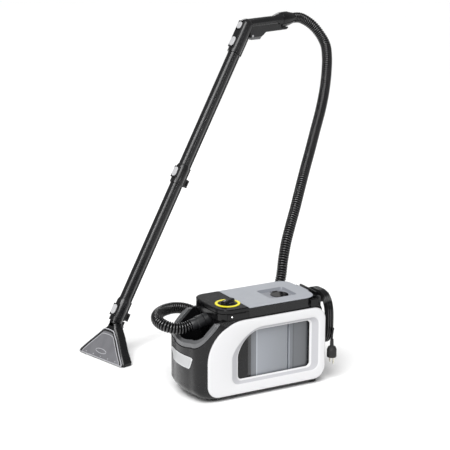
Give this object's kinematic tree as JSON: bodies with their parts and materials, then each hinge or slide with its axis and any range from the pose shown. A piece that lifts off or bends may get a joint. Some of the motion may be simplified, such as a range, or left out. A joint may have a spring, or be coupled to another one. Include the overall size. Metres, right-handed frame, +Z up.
{
  "type": "spot extractor",
  "caption": "Compact spray-and-suction spot cleaner with lift-out tanks, corrugated hose, two-tube wand and a wide floor nozzle.",
  "frame": {"origin": "floor level, at the middle of the floor area covered by the machine and its wand", "axes": "+X to the rear of the machine body, -Y the side with the plug, +Z up"},
  "size_m": [0.9864, 0.7539, 1.0372],
  "materials": {
    "black_plastic": "satin moulded black",
    "charcoal_plastic": "matt moulded charcoal",
    "gloss_black": "polished black",
    "white_plastic": "satin white",
    "grey_lid": "fine matt grey",
    "silver_plastic": "silver grey",
    "plain_plate": "plain light plate with no mark",
    "yellow_plastic": "satin yellow",
    "smoke_tank": "dark smoke polycarbonate",
    "clear_tank": "light smoke polycarbonate",
    "grey_button": "light grey",
    "rubber": "black rubber and flexible vinyl",
    "steel": "steel",
    "brass": "nickelled brass",
    "filter_foam": "open foam",
    "lamp": "white lens"
  },
  "bodies": {
    "machine": {"body_shell": "black_plastic", "base_pan": "charcoal_plastic", "side_frame_near": "white_plastic", "side_frame_far": "white_plastic", "hose_bay_rim": "silver_plastic", "badge_plate": "plain_plate", "console_cover": "black_plastic", "fascia_panel": "gloss_black", "status_lamp": "lamp", "knob_ring": "yellow_plastic", "switch_block": "charcoal_plastic", "upper_cable_hook": "black_plastic", "lower_cable_hook": "black_plastic", "cable_clip": "silver_plastic", "cable_gland": "rubber", "mains_cable_coil": "rubber", "mains_cable_lead": "rubber", "mains_cable_drop": "rubber", "plug_body": "rubber", "plug_pin_near": "brass", "plug_pin_far": "brass", "suction_hose": "rubber", "hose_socket": "charcoal_plastic", "turbine_housing": "charcoal_plastic", "suction_motor": "steel", "water_pump": "charcoal_plastic", "exhaust_filter": "filter_foam", "suction_duct": "charcoal_plastic", "foot_1": "rubber", "foot_2": "rubber", "foot_3": "rubber", "foot_4": "rubber", "base_screw_front": "steel", "base_screw_rear": "steel", "lower_tube": "black_plastic", "upper_tube": "black_plastic", "handle_shell": "black_plastic", "trigger_pin": "steel", "floor_nozzle": "black_plastic", "nozzle_window": "smoke_tank"},
    "knob": {"rotary_knob": "black_plastic"},
    "rotor": {"turbine_rotor": "silver_plastic"},
    "plunger": {"pump_plunger": "steel"},
    "tanks": {"dirty_water_tank": "clear_tank", "fresh_water_tank": "smoke_tank", "tank_collar": "charcoal_plastic", "lid_hinge_pin": "steel", "float_cage": "charcoal_plastic"},
    "lid": {"tank_lid": "grey_lid", "lid_seal": "rubber"},
    "cap": {"fill_cap": "gloss_black"},
    "float": {"float_ball": "filter_foam"},
    "latch": {"lid_latch": "gloss_black"},
    "trigger": {"spray_trigger": "grey_button"},
    "handle_latch": {"handle_latch_button": "grey_button"},
    "handle_slide": {"handle_slide_button": "grey_button"},
    "tube_latch": {"tube_latch_button": "grey_button"},
    "nozzle_latch": {"nozzle_latch_button": "grey_button"},
    "cuff": {"hose_cuff": "black_plastic"},
    "connector": {"hose_connector": "charcoal_plastic"}
  },
  "joints": [
    {"name": "knob_turn", "type": "hinge", "parent": "machine", "child": "knob", "pos_m": [-0.189, -0.3015, 0.28], "axis": [0, 0, 1], "range_deg": [-60, 60]},
    {"name": "rotor_spin", "type": "hinge", "parent": "machine", "child": "rotor", "pos_m": [-0.222, -0.263, 0.03], "axis": [0, 0, 1], "continuous": true},
    {"name": "plunger_stroke", "type": "slide", "parent": "machine", "child": "plunger", "axis": [1, 0, 0], "range_m": [-0.002, 0.002], "stiffness_N_per_m": 800},
    {"name": "tanks_lift", "type": "slide", "parent": "machine", "child": "tanks", "axis": [0, 0, 1], "range_m": [0, 0.26]},
    {"name": "lid_hinge", "type": "hinge", "parent": "tanks", "child": "lid", "pos_m": [0.0915, -0.271, 0.274], "axis": [0, 1, 0], "range_deg": [0, 95]},
    {"name": "cap_hinge", "type": "hinge", "parent": "lid", "child": "cap", "pos_m": [0.0015, -0.253, 0.2752], "axis": [-1, 0, 0], "range_deg": [0, 85]},
    {"name": "float_rise", "type": "slide", "parent": "tanks", "child": "float", "axis": [0, 0, 1], "range_m": [0, 0.11]},
    {"name": "latch_swing", "type": "hinge", "parent": "machine", "child": "latch", "pos_m": [0.075, -0.364, 0.2505], "axis": [1, 0, 0], "range_deg": [0, 40]},
    {"name": "trigger_squeeze", "type": "hinge", "parent": "machine", "child": "trigger", "pos_m": [0.2379, 0.30577, 0.97074], "axis": [0.2419, -0.9703, 0], "range_deg": [0, 8], "stiffness_Nm_per_rad": 1.2},
    {"name": "handle_latch_press", "type": "slide", "parent": "machine", "child": "handle_latch", "axis": [0.8156, 0.2033, -0.5417], "range_m": [0, 0.002], "stiffness_N_per_m": 400},
    {"name": "handle_slide_travel", "type": "slide", "parent": "machine", "child": "handle_slide", "axis": [-0.5256, -0.131, -0.8406], "range_m": [0, 0.005]},
    {"name": "tube_latch_press", "type": "slide", "parent": "machine", "child": "tube_latch", "axis": [0.8156, 0.2033, -0.5417], "range_m": [0, 0.002], "stiffness_N_per_m": 400},
    {"name": "nozzle_latch_press", "type": "slide", "parent": "machine", "child": "nozzle_latch", "axis": [0.8156, 0.2033, -0.5417], "range_m": [0, 0.002], "stiffness_N_per_m": 400},
    {"name": "cuff_swivel", "type": "hinge", "parent": "machine", "child": "cuff", "pos_m": [0.21995, 0.30129, 1.01224], "axis": [0.9703, 0.2419, 0], "continuous": true},
    {"name": "connector_swivel", "type": "hinge", "parent": "machine", "child": "connector", "pos_m": [-0.24, -0.271, 0.2315], "axis": [0.9781, 0, 0.2079], "continuous": true}
  ]
}
